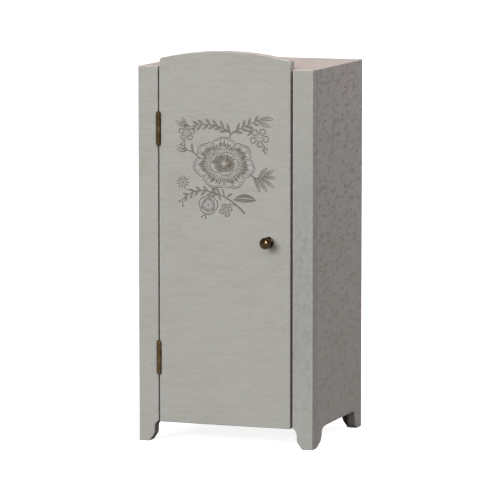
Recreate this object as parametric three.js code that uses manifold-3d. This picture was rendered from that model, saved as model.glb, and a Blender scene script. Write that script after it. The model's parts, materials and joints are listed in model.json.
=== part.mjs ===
// Miniature wardrobe: a painted board carcass on bracket feet, one arched door on two butt hinges.
// Millimetres, +Z up, the front faces -Y, the floor is z = 0 and the overall box is centred on x and y.
import * as THREE from 'three';
import { mergeVertices, toCreasedNormals } from 'three/addons/utils/BufferGeometryUtils.js';
import Module from 'manifold-3d';

const wasm = await Module();
wasm.setup();

// ---- driving dimensions ----------------------------------------------------------------

// Carcass
const WIDTH = 96;
const DEPTH = 82;
const HEIGHT = 197;
const BOARD = 6.5;
const SIDE_BOARD = 4.5;
const ARRIS = 0.5;
const STILE = 11;
const FLOOR_UNDERSIDE = 11;
const DOOR_REST = 0.25;

// Feet. A distance is from the outer edge, or on a side board from the front or the back.
const FOOT_SOLE = 5.75;
const FOOT_TOE = [8, 3];
const FOOT_ANKLE = 8.75;
const FOOT_ANKLE_HEIGHTS = [5.25, 6.75];
const SIDE_CUTOUT = 9.75;
const SIDE_FRONT_FOOT = { sole: 7.25, toe: [13.25, 2.25], ankle: [15.75, 7.5], cove: 21.5 };
const SIDE_BACK_FOOT = { sole: 7, toe: [9.5, 1.5], ankle: [11, 6], cove: 13.5 };

// Door
const HINGE_GAP = 0.75;
const LATCH_GAP = 1.25;
const DOOR_BOTTOM = 10.5;
const DOOR_SHOULDER = 201.25;
const DOOR_CROWN = 205.5;
const DOOR_CORNER = 2.25;

// Hinges: the barrel lies half sunk in a groove at the door gap, and each leaf is let into its wood.
const HINGE_HEIGHTS = { upper: 164.5, lower: 44.5 };
const BARREL = 17;
const OUTER_KNUCKLE = 5.5;
const KNUCKLE_GAP = 0.3;
const KNUCKLE_RADIUS = 1.25;
const BORE_RADIUS = 0.75;
const PIN_RADIUS = 0.55;
const PIN_HEAD = 0.5;
const PIN_HEAD_RADIUS = 1;
const PIN_HEAD_RIM = 0.15;
const PIN_HEAD_TOP_RADIUS = 0.6;
const PIN_STANDOFF = 0.25;
const GROOVE = 0.25;
const LEAF = 0.5;
const LEAF_RECESS = 0.25;
const LEAF_END = 5.5;
const LEAF_CLEAR = 1.75;
const NECK_START = 1;
const NECK_END = 2.25;

// Hinge nails
const NAIL_SPREAD = 5.5;
const NAIL_INSET = 3.9;
const NAIL_HEAD_RADIUS = 0.9;
const NAIL_SHANK_RADIUS = 0.4;
const NAIL_POINT = 1;
const NAIL_LENGTH = 5;
const NAIL_SINK = LEAF / 2;
const NAIL_FIT = 0.2;

// Knob: a reach is measured from the door's face
const KNOB_X = 24;
const KNOB_Z = 107.5;
const KNOB_REACH = 8;
const KNOB_RADIUS = 3;
const KNOB_HEAD_CENTRE = 5.6;
const KNOB_FOOT_RADIUS = 2.9;
const KNOB_FOOT_RIM = 0.6;
const KNOB_WAIST_RADIUS = 1.5;
const KNOB_WAIST_START = 2;
const KNOB_BEAD_RADIUS = 1.9;
const KNOB_BORE_DEPTH = 4.5;

// Knob screw
const SCREW_HOLE = 1;
const SCREW_RADIUS = 0.7;
const SCREW_REACH = BOARD + 3.5;
const SCREW_HEAD_RADIUS = 2;
const SCREW_HEAD_RIM = 0.6;
const SCREW_HEAD_HEIGHT = 1.25;
const SCREW_SLOT_FLOOR = 0.7;
const SCREW_SLOT_HALF = 0.25;

// Inside fittings
const RAIL_RADIUS = 2;
const RAIL_Z = 172;
const RAIL_SOCKET = 2.25;
const RAIL_END_GAP = 0.25;
const CATCH_X = 26;
const MAGNET_RADIUS = 2;
const MAGNET_LENGTH = 3;
const STRIKE_RADIUS = 2.5;
const STRIKE_THICKNESS = 0.5;
const FIT = 0.3;

// How far a cutter runs past the wood, and a board before it is trimmed
const PAST = 1;
const OVERLENGTH = 2;

// Derived positions
const FRONT = -(DEPTH + KNOB_REACH) / 2 + KNOB_REACH;
const BACK = FRONT + DEPTH;
const DOOR_BACK = FRONT + BOARD;
const HALF = WIDTH / 2;
const INNER = HALF - SIDE_BOARD;
const DOOR_LEFT = STILE + HINGE_GAP - HALF;
const DOOR_RIGHT = HALF - STILE - LATCH_GAP;
const DOOR_MIDDLE = (DOOR_LEFT + DOOR_RIGHT) / 2;
const DOOR_HALF = (DOOR_RIGHT - DOOR_LEFT) / 2;
const PIN_X = DOOR_LEFT - HINGE_GAP / 2;
const PIN_Y = FRONT - PIN_STANDOFF;
const RAIL_Y = (DOOR_BACK + BACK - BOARD) / 2;
const PANEL_FRONT = DOOR_BACK + DOOR_REST;
const CATCH_Z = HEIGHT - BOARD / 2;

// ---- finishes --------------------------------------------------------------------------

function finish(color, roughness, metalness = 0) {
  return new THREE.MeshStandardMaterial({ color, roughness, metalness });
}

const paintedBoard = () => finish(0xaeada6, 0.78);
const bareWood = () => finish(0xb99a72, 0.7);
const agedBrass = () => finish(0x6b4e28, 0.42, 0.9);
const brightSteel = () => finish(0xb4b6b8, 0.35, 0.95);
const darkMagnet = () => finish(0x3a3b3e, 0.45, 0.6);

// ---- solids ----------------------------------------------------------------------------

// A watertight manifold of a three.js geometry, so that it can be cut and joined.
function solid(geometry) {
  const bare = new THREE.BufferGeometry();
  bare.setAttribute('position', geometry.getAttribute('position'));
  bare.setIndex(geometry.getIndex());
  const welded = mergeVertices(bare, 1e-4);
  return new wasm.Manifold(new wasm.Mesh({
    numProp: 3,
    vertProperties: new Float32Array(welded.getAttribute('position').array),
    triVerts: new Uint32Array(welded.getIndex().array),
  }));
}

function geometryOf(manifold) {
  const mesh = manifold.getMesh();
  const geometry = new THREE.BufferGeometry();
  geometry.setAttribute('position', new THREE.BufferAttribute(new Float32Array(mesh.vertProperties), 3));
  geometry.setIndex(new THREE.BufferAttribute(new Uint32Array(mesh.triVerts), 1));
  return geometry;
}

function named(name, geometry, material) {
  const mesh = new THREE.Mesh(toCreasedNormals(geometry, 0.6), material);
  mesh.name = name;
  return mesh;
}

// Turns a geometry so that its own x, y and z axes point along the three given directions.
function turned(geometry, xAxis, yAxis, zAxis, origin = [0, 0, 0]) {
  const [x, y, z] = [xAxis, yAxis, zAxis].map((axis) => new THREE.Vector3(...axis));
  const matrix = new THREE.Matrix4().makeBasis(x, y, z).setPosition(...origin);
  return geometry.applyMatrix4(matrix);
}

// An outline drawn as seen from the front, extruded towards the front from the plane y.
const facingFront = (geometry, y) => turned(geometry, [1, 0, 0], [0, 0, 1], [0, -1, 0], [0, y, 0]);

// An outline drawn with x as depth, extruded towards +X from the plane x.
const facingSide = (geometry, x) => turned(geometry, [0, 1, 0], [0, 0, 1], [1, 0, 0], [x, 0, 0]);

function block(xRange, yRange, zRange) {
  const size = [xRange, yRange, zRange].map(([low, high]) => high - low);
  const centre = [xRange, yRange, zRange].map(([low, high]) => (low + high) / 2);
  return new THREE.BoxGeometry(...size).translate(...centre);
}

// A board with both its faces' edges eased, centred on the extrusion from 0 to the thickness.
function easedBoard(outline, thickness) {
  return new THREE.ExtrudeGeometry(outline, {
    depth: thickness - 2 * ARRIS,
    bevelThickness: ARRIS,
    bevelSize: ARRIS,
    bevelOffset: -ARRIS,
    bevelSegments: 2,
    curveSegments: 8,
  }).translate(0, 0, ARRIS);
}

// Everything between two planes that face the front and the back.
function slice(from, to) {
  return block([-HALF - PAST, HALF + PAST], [from, to], [-PAST, HEIGHT + PAST]);
}

function rod(radius, length, segments = 24) {
  return new THREE.CylinderGeometry(radius, radius, length, segments);
}

// ---- outlines --------------------------------------------------------------------------

// Adds a path's points to an outline, from the floor up or back down to it.
function trace(outline, path, place, upwards) {
  const points = path.getPoints(6);
  const ordered = upwards ? points : points.reverse();
  ordered.forEach((point) => outline.lineTo(...place(point.x, point.y)));
}

// The inner edge of a bracket foot: flat sole, slanted toe, short upright, then a cove up to the case.
function traceFoot(outline, place, upwards = true) {
  const [low, high] = FOOT_ANKLE_HEIGHTS;
  const foot = new THREE.Path();
  foot.moveTo(FOOT_SOLE, 0);
  foot.lineTo(...FOOT_TOE);
  foot.quadraticCurveTo(FOOT_ANKLE, (FOOT_TOE[1] + low) / 2, FOOT_ANKLE, low);
  foot.lineTo(FOOT_ANKLE, high);
  foot.quadraticCurveTo(FOOT_ANKLE, FLOOR_UNDERSIDE - 1.25, STILE, FLOOR_UNDERSIDE);
  trace(outline, foot, place, upwards);
}

// The edge of a side board's foot, which ends at the long cut-out between the two feet.
function traceSideFoot(outline, foot, place, upwards = true) {
  const { sole, toe, ankle, cove } = foot;
  const edge = new THREE.Path();
  edge.moveTo(sole, 0);
  edge.lineTo(...toe);
  edge.quadraticCurveTo(ankle[0] - 0.5, toe[1] + 1.5, ...ankle);
  edge.quadraticCurveTo(ankle[0] + 0.5, SIDE_CUTOUT - 0.25, cove, SIDE_CUTOUT);
  trace(outline, edge, place, upwards);
}

function stileOutline(side) {
  const place = (fromEdge, height) => [side * (HALF - fromEdge), height];
  const outline = new THREE.Shape();
  outline.moveTo(...place(0, 0));
  traceFoot(outline, place);
  outline.lineTo(...place(STILE, HEIGHT));
  outline.lineTo(...place(0, HEIGHT));
  outline.closePath();
  return outline;
}

function backOutline() {
  const outline = new THREE.Shape();
  outline.moveTo(-HALF, 0);
  traceFoot(outline, (fromEdge, height) => [fromEdge - HALF, height]);
  traceFoot(outline, (fromEdge, height) => [HALF - fromEdge, height], false);
  outline.lineTo(HALF, 0);
  outline.lineTo(HALF, HEIGHT);
  outline.lineTo(-HALF, HEIGHT);
  outline.closePath();
  return outline;
}

// Drawn a little over-long at both ends, so that trimming leaves square ends and eased long edges.
function sideOutline() {
  const front = DOOR_BACK - OVERLENGTH;
  const back = BACK - BOARD + OVERLENGTH;
  const outline = new THREE.Shape();
  outline.moveTo(front, 0);
  traceSideFoot(outline, SIDE_FRONT_FOOT, (depth, height) => [FRONT + depth, height]);
  traceSideFoot(outline, SIDE_BACK_FOOT, (depth, height) => [BACK - depth, height], false);
  outline.lineTo(back, 0);
  outline.lineTo(back, HEIGHT);
  outline.lineTo(front, HEIGHT);
  outline.closePath();
  return outline;
}

// The crown is one arc through both shoulders; short arcs round the two top corners.
function doorOutline() {
  const rise = DOOR_CROWN - DOOR_SHOULDER;
  const radius = (DOOR_HALF ** 2 + rise ** 2) / (2 * rise);
  const centreZ = DOOR_CROWN - radius;
  const reach = DOOR_HALF - DOOR_CORNER;
  const cornerZ = centreZ + Math.sqrt(radius ** 2 - reach ** 2);
  const crownAngle = Math.asin(reach / radius);
  const outline = new THREE.Shape();
  outline.moveTo(DOOR_LEFT, DOOR_BOTTOM);
  outline.lineTo(DOOR_RIGHT, DOOR_BOTTOM);
  outline.lineTo(DOOR_RIGHT, DOOR_SHOULDER - DOOR_CORNER);
  outline.quadraticCurveTo(DOOR_RIGHT, cornerZ, DOOR_MIDDLE + reach, cornerZ);
  outline.absarc(DOOR_MIDDLE, centreZ, radius, Math.PI / 2 - crownAngle, Math.PI / 2 + crownAngle);
  outline.quadraticCurveTo(DOOR_LEFT, cornerZ, DOOR_LEFT, DOOR_SHOULDER - DOOR_CORNER);
  outline.closePath();
  return outline;
}

// ---- hinge leaves' places, nails and recesses ------------------------------------------

// The frame's leaf is left of the gap's middle, side -1, and the door's leaf right of it, side 1.
const leafBed = (side) => PIN_X + side * (HINGE_GAP / 2 + LEAF_RECESS);
const leafFace = (side) => leafBed(side) - side * LEAF;

function nailPoints() {
  return [-NAIL_SPREAD, NAIL_SPREAD];
}

function nail(side, height) {
  const profile = [
    [0, -NAIL_LENGTH],
    [NAIL_SHANK_RADIUS, NAIL_POINT - NAIL_LENGTH],
    [NAIL_SHANK_RADIUS, -NAIL_SINK],
    [NAIL_HEAD_RADIUS, -NAIL_SINK],
    [NAIL_HEAD_RADIUS, 0],
    [0, 0],
  ].map(([radius, along]) => new THREE.Vector2(radius, along));
  const geometry = new THREE.LatheGeometry(profile, 12);
  return turned(geometry, [0, side, 0], [-side, 0, 0], [0, 0, 1], [leafFace(side), PIN_Y + NAIL_INSET, height]);
}

// A round cutter along x, from the outer of two planes to the inner one.
function boreAlongX(radius, xFrom, xTo, y, z, segments = 12) {
  const length = Math.abs(xTo - xFrom);
  return rod(radius, length, segments).rotateZ(Math.PI / 2).translate((xFrom + xTo) / 2, y, z);
}

function boreAlongY(radius, yFrom, yTo, x, z, segments = 24) {
  const length = Math.abs(yTo - yFrom);
  return rod(radius, length, segments).translate(x, (yFrom + yTo) / 2, z);
}

// A round cutter upright on the hinges' axis, with its middle at one height.
function boreOnHinge(radius, length, height) {
  return rod(radius, length, 40).rotateX(Math.PI / 2).translate(PIN_X, PIN_Y, height);
}

// The wood beside a hinge: a groove round the barrel, a shallow recess for the leaf, and its nails' holes.
function withHingeSeats(wood, side) {
  let cut = wood;
  const across = [leafFace(side), leafBed(side)].sort((a, b) => a - b);
  const deep = PIN_Y + LEAF_END + LEAF_RECESS;
  const half = BARREL / 2 + LEAF_RECESS;
  const grooveLength = BARREL + 2 * (PIN_HEAD + GROOVE);
  for (const height of Object.values(HINGE_HEIGHTS)) {
    cut = cut.subtract(solid(boreOnHinge(KNUCKLE_RADIUS + GROOVE, grooveLength, height)));
    cut = cut.subtract(solid(block(across, [FRONT - PAST, deep], [height - half, height + half])));
    for (const offset of nailPoints()) {
      const end = leafFace(side) + side * (NAIL_LENGTH + FIT);
      const place = [PIN_Y + NAIL_INSET, height + offset];
      cut = cut.subtract(solid(boreAlongX(NAIL_SHANK_RADIUS + NAIL_FIT, leafFace(side), end, ...place)));
    }
  }
  return cut;
}

// ---- carcass ---------------------------------------------------------------------------

function stile(side) {
  const eased = facingFront(easedBoard(stileOutline(side), BOARD + OVERLENGTH), DOOR_BACK + OVERLENGTH);
  const wood = solid(eased).intersect(solid(slice(FRONT - PAST, DOOR_BACK)));
  return geometryOf(side < 0 ? withHingeSeats(wood, side) : wood);
}

function backPanel() {
  const eased = facingFront(easedBoard(backOutline(), BOARD + OVERLENGTH), BACK);
  return geometryOf(solid(eased).intersect(solid(slice(BACK - BOARD, BACK + PAST))));
}

function sideBoard(side) {
  const inside = side * INNER;
  const eased = facingSide(easedBoard(sideOutline(), SIDE_BOARD), side < 0 ? -HALF : INNER);
  const wood = solid(eased).intersect(solid(slice(DOOR_BACK, BACK - BOARD)));
  const socketEnd = inside + side * RAIL_SOCKET;
  const socket = boreAlongX(RAIL_RADIUS + FIT, inside - side * PAST, socketEnd, RAIL_Y, RAIL_Z, 24);
  return geometryOf(wood.subtract(solid(socket)));
}

function shelf(bottom) {
  return block([-INNER, INNER], [PANEL_FRONT, BACK - BOARD], [bottom, bottom + BOARD]);
}

function topPanel() {
  const pocketEnd = PANEL_FRONT + MAGNET_LENGTH + FIT;
  const pocket = boreAlongY(MAGNET_RADIUS + FIT, PANEL_FRONT - PAST, pocketEnd, CATCH_X, CATCH_Z);
  return geometryOf(solid(shelf(HEIGHT - BOARD)).subtract(solid(pocket)));
}

function hangingRail() {
  const reach = INNER + RAIL_SOCKET - RAIL_END_GAP;
  return boreAlongX(RAIL_RADIUS, -reach, reach, RAIL_Y, RAIL_Z, 24);
}

function catchMagnet() {
  return boreAlongY(MAGNET_RADIUS, PANEL_FRONT, PANEL_FRONT + MAGNET_LENGTH, CATCH_X, CATCH_Z);
}

// ---- door ------------------------------------------------------------------------------

function door() {
  let wood = solid(facingFront(easedBoard(doorOutline(), BOARD), DOOR_BACK));
  wood = withHingeSeats(wood, 1);
  wood = wood.subtract(solid(boreAlongY(SCREW_HOLE, FRONT - PAST, DOOR_BACK + PAST, KNOB_X, KNOB_Z)));
  const pocketFloor = DOOR_BACK - STRIKE_THICKNESS;
  const pocket = boreAlongY(STRIKE_RADIUS + FIT, pocketFloor, DOOR_BACK + PAST, CATCH_X, CATCH_Z);
  return geometryOf(wood.subtract(solid(pocket)));
}

function catchStrike() {
  return boreAlongY(STRIKE_RADIUS, DOOR_BACK - STRIKE_THICKNESS, DOOR_BACK, CATCH_X, CATCH_Z);
}

// Turned in one piece: a foot disc, a narrow waist with one bead, and an oblate head.
function knob() {
  const beadMiddle = KNOB_WAIST_START + 0.5;
  const points = [[0, KNOB_BORE_DEPTH], [SCREW_HOLE, KNOB_BORE_DEPTH], [SCREW_HOLE, 0]];
  points.push([KNOB_FOOT_RADIUS, 0], [KNOB_FOOT_RADIUS, KNOB_FOOT_RIM]);
  points.push([KNOB_FOOT_RADIUS - 0.3, KNOB_FOOT_RIM + 0.4], [KNOB_WAIST_RADIUS + 0.2, KNOB_FOOT_RIM + 0.7]);
  points.push([KNOB_WAIST_RADIUS, KNOB_WAIST_START]);
  points.push([KNOB_BEAD_RADIUS, beadMiddle - 0.2], [KNOB_BEAD_RADIUS, beadMiddle + 0.2]);
  points.push([KNOB_WAIST_RADIUS, beadMiddle + 0.5], [KNOB_WAIST_RADIUS + 0.1, beadMiddle + 1]);
  const headHalf = KNOB_REACH - KNOB_HEAD_CENTRE;
  const steps = 10;
  for (let step = 0; step <= steps; step += 1) {
    const angle = THREE.MathUtils.lerp(-55, 90, step / steps) * THREE.MathUtils.DEG2RAD;
    const radius = step === steps ? 0 : KNOB_RADIUS * Math.cos(angle);
    points.push([radius, KNOB_HEAD_CENTRE + headHalf * Math.sin(angle)]);
  }
  const profile = points.map(([radius, along]) => new THREE.Vector2(radius, along));
  const geometry = new THREE.LatheGeometry(profile, 30);
  return turned(geometry, [1, 0, 0], [0, -1, 0], [0, 0, -1], [KNOB_X, FRONT, KNOB_Z]);
}

function knobScrew() {
  const profile = [
    [0, -SCREW_REACH], [SCREW_RADIUS, -SCREW_REACH], [SCREW_RADIUS, 0], [SCREW_HEAD_RADIUS, 0],
    [SCREW_HEAD_RADIUS, SCREW_HEAD_RIM], [SCREW_HEAD_RADIUS - 0.4, SCREW_HEAD_HEIGHT - 0.2],
    [SCREW_HEAD_RADIUS - 1, SCREW_HEAD_HEIGHT], [0, SCREW_HEAD_HEIGHT],
  ].map(([radius, along]) => new THREE.Vector2(radius, along));
  const geometry = turned(
    new THREE.LatheGeometry(profile, 24), [1, 0, 0], [0, 1, 0], [0, 0, 1], [KNOB_X, DOOR_BACK, KNOB_Z]);
  const slotReach = SCREW_HEAD_RADIUS + PAST;
  const slot = block(
    [KNOB_X - slotReach, KNOB_X + slotReach],
    [DOOR_BACK + SCREW_SLOT_FLOOR, DOOR_BACK + SCREW_HEAD_HEIGHT + PAST],
    [KNOB_Z - SCREW_SLOT_HALF, KNOB_Z + SCREW_SLOT_HALF]);
  return geometryOf(solid(geometry).subtract(solid(slot)));
}

// ---- hinges ----------------------------------------------------------------------------

function knuckle(low, high) {
  const ring = new THREE.Shape();
  ring.absarc(0, 0, KNUCKLE_RADIUS, 0, 2 * Math.PI);
  const bore = new THREE.Path();
  bore.absarc(0, 0, BORE_RADIUS, 0, 2 * Math.PI, true);
  ring.holes.push(bore);
  const tube = new THREE.ExtrudeGeometry(ring, { depth: high - low, bevelEnabled: false, curveSegments: 20 });
  return tube.translate(PIN_X, PIN_Y, low);
}

// The frame's leaf carries the two outer knuckles, the door's leaf the middle one.
function knuckleRanges(side) {
  const end = BARREL / 2;
  const inner = end - OUTER_KNUCKLE;
  return side < 0 ? [[-end, -inner], [inner, end]] : [[KNUCKLE_GAP - inner, inner - KNUCKLE_GAP]];
}

function hingeLeaf(side, height) {
  const across = [leafBed(side), leafFace(side)].sort((a, b) => a - b);
  const low = height - BARREL / 2;
  let leaf = solid(block(across, [PIN_Y + LEAF_CLEAR, PIN_Y + LEAF_END], [low, low + BARREL]));
  for (const [from, to] of knuckleRanges(side)) {
    const neck = block(across, [PIN_Y + NECK_START, PIN_Y + NECK_END], [height + from, height + to]);
    leaf = leaf.add(solid(neck)).add(solid(knuckle(height + from, height + to)));
  }
  for (const offset of nailPoints()) {
    const at = [PIN_Y + NAIL_INSET, height + offset];
    const sunk = leafFace(side) + side * NAIL_SINK;
    const outside = leafFace(side) - side * PAST;
    const inside = leafBed(side) + side * PAST;
    leaf = leaf.subtract(solid(boreAlongX(NAIL_HEAD_RADIUS + NAIL_FIT, outside, sunk, ...at)));
    leaf = leaf.subtract(solid(boreAlongX(NAIL_SHANK_RADIUS + NAIL_FIT, sunk, inside, ...at)));
  }
  return geometryOf(leaf);
}

function hingePin(height) {
  const end = BARREL / 2;
  const upperHead = [
    [PIN_HEAD_RADIUS, end], [PIN_HEAD_RADIUS, end + PIN_HEAD_RIM],
    [PIN_HEAD_TOP_RADIUS, end + PIN_HEAD], [0, end + PIN_HEAD],
  ];
  const lowerHead = upperHead.map(([radius, along]) => [radius, -along]).reverse();
  const profile = [...lowerHead, [PIN_RADIUS, -end], [PIN_RADIUS, end], ...upperHead]
    .map(([radius, along]) => new THREE.Vector2(radius, along));
  const geometry = new THREE.LatheGeometry(profile, 20);
  return turned(geometry, [1, 0, 0], [0, 0, 1], [0, -1, 0], [PIN_X, PIN_Y, height]);
}

function hingeParts() {
  const parts = [];
  for (const [level, height] of Object.entries(HINGE_HEIGHTS)) {
    parts.push(named(`${level}_hinge_frame_leaf`, hingeLeaf(-1, height), agedBrass()));
    parts.push(named(`${level}_hinge_door_leaf`, hingeLeaf(1, height), agedBrass()));
    parts.push(named(`${level}_hinge_pin`, hingePin(height), agedBrass()));
    for (const [place, side] of [['frame', -1], ['door', 1]]) {
      nailPoints().forEach((offset, index) => {
        const name = `${level}_hinge_${place}_nail_${index === 0 ? 'low' : 'high'}`;
        parts.push(named(name, nail(side, height + offset), agedBrass()));
      });
    }
  }
  return parts;
}

// ---- assembly --------------------------------------------------------------------------

const wardrobe = new THREE.Group();
wardrobe.name = 'miniature_wardrobe';
wardrobe.add(
  named('left_stile', stile(-1), paintedBoard()),
  named('right_stile', stile(1), paintedBoard()),
  named('left_side', sideBoard(-1), paintedBoard()),
  named('right_side', sideBoard(1), paintedBoard()),
  named('back_panel', backPanel(), paintedBoard()),
  named('top_panel', topPanel(), paintedBoard()),
  named('bottom_panel', shelf(FLOOR_UNDERSIDE), paintedBoard()),
  named('hanging_rail', hangingRail(), bareWood()),
  named('catch_magnet', catchMagnet(), darkMagnet()),
  named('door', door(), paintedBoard()),
  named('catch_strike', catchStrike(), brightSteel()),
  named('knob', knob(), agedBrass()),
  named('knob_screw', knobScrew(), brightSteel()),
  ...hingeParts(),
);

export default wardrobe;
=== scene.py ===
# Looks for the miniature wardrobe: painted boards, printed flowers, dark brass hinges and knob.
# Shapes are drawn in millimetres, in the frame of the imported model, and scaled to metres at the end.
import cmath
import json
import math
import random

import bmesh
import bpy
from mathutils import Matrix, Vector

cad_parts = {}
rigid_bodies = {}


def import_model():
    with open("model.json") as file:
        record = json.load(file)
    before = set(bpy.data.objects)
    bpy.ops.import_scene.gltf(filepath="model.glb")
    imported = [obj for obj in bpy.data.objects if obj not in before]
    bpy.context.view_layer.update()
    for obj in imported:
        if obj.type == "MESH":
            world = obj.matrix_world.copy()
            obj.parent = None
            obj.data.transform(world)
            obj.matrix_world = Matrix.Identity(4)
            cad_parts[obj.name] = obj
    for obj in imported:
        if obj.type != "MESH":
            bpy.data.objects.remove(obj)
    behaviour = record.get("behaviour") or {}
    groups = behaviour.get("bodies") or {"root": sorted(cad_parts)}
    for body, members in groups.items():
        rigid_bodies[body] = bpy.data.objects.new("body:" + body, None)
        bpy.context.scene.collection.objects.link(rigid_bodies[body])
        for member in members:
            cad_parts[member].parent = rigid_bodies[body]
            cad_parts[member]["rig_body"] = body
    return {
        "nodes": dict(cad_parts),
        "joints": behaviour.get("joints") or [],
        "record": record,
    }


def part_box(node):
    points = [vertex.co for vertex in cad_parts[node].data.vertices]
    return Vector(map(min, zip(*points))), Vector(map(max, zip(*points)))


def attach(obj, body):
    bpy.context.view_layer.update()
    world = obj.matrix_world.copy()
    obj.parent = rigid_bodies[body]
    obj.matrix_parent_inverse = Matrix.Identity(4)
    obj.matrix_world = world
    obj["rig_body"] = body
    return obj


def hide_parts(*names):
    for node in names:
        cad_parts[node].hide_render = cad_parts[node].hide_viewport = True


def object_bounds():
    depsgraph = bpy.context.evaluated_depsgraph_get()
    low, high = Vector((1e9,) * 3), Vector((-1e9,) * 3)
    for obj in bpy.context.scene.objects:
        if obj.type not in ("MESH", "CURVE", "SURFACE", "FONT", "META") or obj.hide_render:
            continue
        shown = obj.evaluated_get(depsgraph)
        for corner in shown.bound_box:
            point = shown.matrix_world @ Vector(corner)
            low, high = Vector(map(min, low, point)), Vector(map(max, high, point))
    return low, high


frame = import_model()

CAD_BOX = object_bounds()
CAD_MIDDLE = (CAD_BOX[0] + CAD_BOX[1]) / 2
MM = 0.001

# ---- sizes in millimetres ----

ARRIS = 0.5
SEAM = 0.16
EASED = 0.12
FILLED = 0.04
BOARD = 6.5

# Feet: a distance is from the outer edge, or on a side board from the front or the back.
FOOT_SOLE = 5.75
FOOT_TOE = (8, 3)
FOOT_ANKLE = 8.75
FOOT_ANKLE_HEIGHTS = (5.25, 6.75)
STILE = 11
FOOT_TOP = 11
SIDE_CUTOUT = 9.75
SIDE_FRONT_FOOT = {"sole": 7.25, "toe": (13.25, 2.25), "ankle": (15.75, 7.5), "cove": 21.5}
SIDE_BACK_FOOT = {"sole": 7, "toe": (9.5, 1.5), "ankle": (11, 6), "cove": 13.5}

SHOULDER = 201.25
CROWN = 205.5
CORNER = 2.25

# Round sockets: radius and depth
RAIL_SOCKET = (2.3, 2.25)
MAGNET_POCKET = (2.2, 3.2)
STRIKE_POCKET = (2.62, 0.5)

KNUCKLE_RADIUS = 1.25
BORE_RADIUS = 0.75
LEAF_NEAR = 0.125
LEAF_FAR = 0.625
LEAF_NECK = 1.75
LEAF_END = 5.5
RECESS_END = 5.75
RECESS_HALF = 8.75
HALF_BARREL = 8.5
BARREL_ROUND = 0.4
GROOVE_RADIUS = 1.5
GROOVE_HALF = 9.25
OUTER_KNUCKLE = 3
MIDDLE_KNUCKLE = 2.7
NAIL_DEPTH = 3.9
HINGE_NAILS = {"low": -5.5, "high": 5.5}

PRINT_CENTRE = -1.5 + 146.5j
STROKE = 1.35

# The sides are glued up from strips: depths of the faint joints between them, from the frame's middle
SIDE_STRIPS = (-4, 18)


def corners(node):
    """A CAD node's lowest and highest corners, in millimetres."""
    low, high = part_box(node)
    return low / MM, high / MM


def middle_of(node):
    low, high = corners(node)
    return (low + high) / 2


SLOTS = {row["node"]: row["material_slot"] for row in frame["record"]["subparts"]}
HINGE_AXIS = Vector(frame["joints"][0]["pos_m"]) / MM
FRONT = corners("left_stile")[0].y
DOOR_BACK = corners("left_stile")[1].y
HINGE_HEIGHTS = {level: middle_of(f"{level}_hinge_pin").z for level in ("upper", "lower")}


# ---- node graphs ----

class Graph:
    """A node tree, with short calls for making its nodes."""

    def __init__(self, tree):
        self.tree = tree

    def put(self, socket, value):
        if isinstance(value, bpy.types.NodeSocket):
            self.tree.links.new(value, socket)
        else:
            socket.default_value = value

    def node(self, kind, given=None, **settings):
        """A new node: given holds what goes into its sockets, by name or number."""
        made = self.tree.nodes.new(kind)
        for name, value in settings.items():
            setattr(made, name, value)
        for socket, value in (given or {}).items():
            self.put(made.inputs[socket], value)
        return made


class Finish(Graph):
    """One material, with short calls for the nodes that the finishes are made of."""

    def __init__(self, name, roughness=0.5, metallic=0.0, specular=0.5):
        self.material = bpy.data.materials.new(name)
        self.material.use_nodes = True
        super().__init__(self.material.node_tree)
        self.shader = self.tree.nodes["Principled BSDF"]
        plain = {"Roughness": roughness, "Metallic": metallic, "Specular IOR Level": specular}
        for socket, value in plain.items():
            self.put(self.shader.inputs[socket], value)
        self.place = self.node("ShaderNodeTexCoord").outputs["Object"]

    def math(self, operation, first, second=0.0):
        return self.node("ShaderNodeMath", {0: first, 1: second}, operation=operation).outputs[0]

    def times(self, first, second):
        return self.math("MULTIPLY", first, second)

    def stretched(self, x, y, z):
        """Places in the frame, counted in cycles: so many to a millimetre along each axis."""
        cycles = (x / MM, y / MM, z / MM)
        return self.node("ShaderNodeVectorMath", {0: self.place, 1: cycles}, operation="MULTIPLY").outputs[0]

    def noise(self, x, y, z, detail=3.0, roughness=0.55, distortion=0.0):
        given = {"Vector": self.stretched(x, y, z), "Scale": 1.0,
                 "Detail": detail, "Roughness": roughness, "Distortion": distortion}
        return self.node("ShaderNodeTexNoise", given).outputs["Fac"]

    def ramp(self, value, low, high, to_low=0.0, to_high=1.0):
        given = {"Value": value, "From Min": low, "From Max": high, "To Min": to_low, "To Max": to_high}
        return self.node("ShaderNodeMapRange", given, interpolation_type="SMOOTHSTEP").outputs["Result"]

    def mix(self, share, first, second):
        return self.node("ShaderNodeMix", {"Factor": share, 6: first, 7: second}, data_type="RGBA").outputs[2]

    def worn(self):
        """How much of an edge a point is on, from the mesh's own record of it."""
        return self.node("ShaderNodeAttribute", attribute_name="edge").outputs["Fac"]

    def part(self, vector, axis):
        return self.node("ShaderNodeSeparateXYZ", {0: vector}).outputs[axis]

    def facing(self, axis):
        """How squarely a face looks along one axis, from -1 to 1."""
        return self.part(self.node("ShaderNodeTexCoord").outputs["Normal"], axis)

    def along(self, axis):
        """A point's place along one axis, in millimetres."""
        return self.part(self.stretched(1, 1, 1), axis)

    def depth_line(self, depth, width):
        """1 on an upright line at one depth from front to back, fading to 0 at its edges."""
        off = self.math("ABSOLUTE", self.math("SUBTRACT", self.along("Y"), depth))
        return self.ramp(off, width / 6, width / 2, 1.0, 0.0)

    def colour(self, value):
        self.put(self.shader.inputs["Base Color"], value)

    def roughness(self, value, low, high):
        """Roughness from low to high, following a noise."""
        self.put(self.shader.inputs["Roughness"], self.ramp(value, 0.3, 0.7, low, high))

    def bump(self, height, depth):
        made = self.node("ShaderNodeBump", {"Strength": 1.0, "Distance": depth * MM, "Height": height})
        self.put(self.shader.inputs["Normal"], made.outputs["Normal"])


def tone(red, green, blue):
    return (red, green, blue, 1.0)


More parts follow.
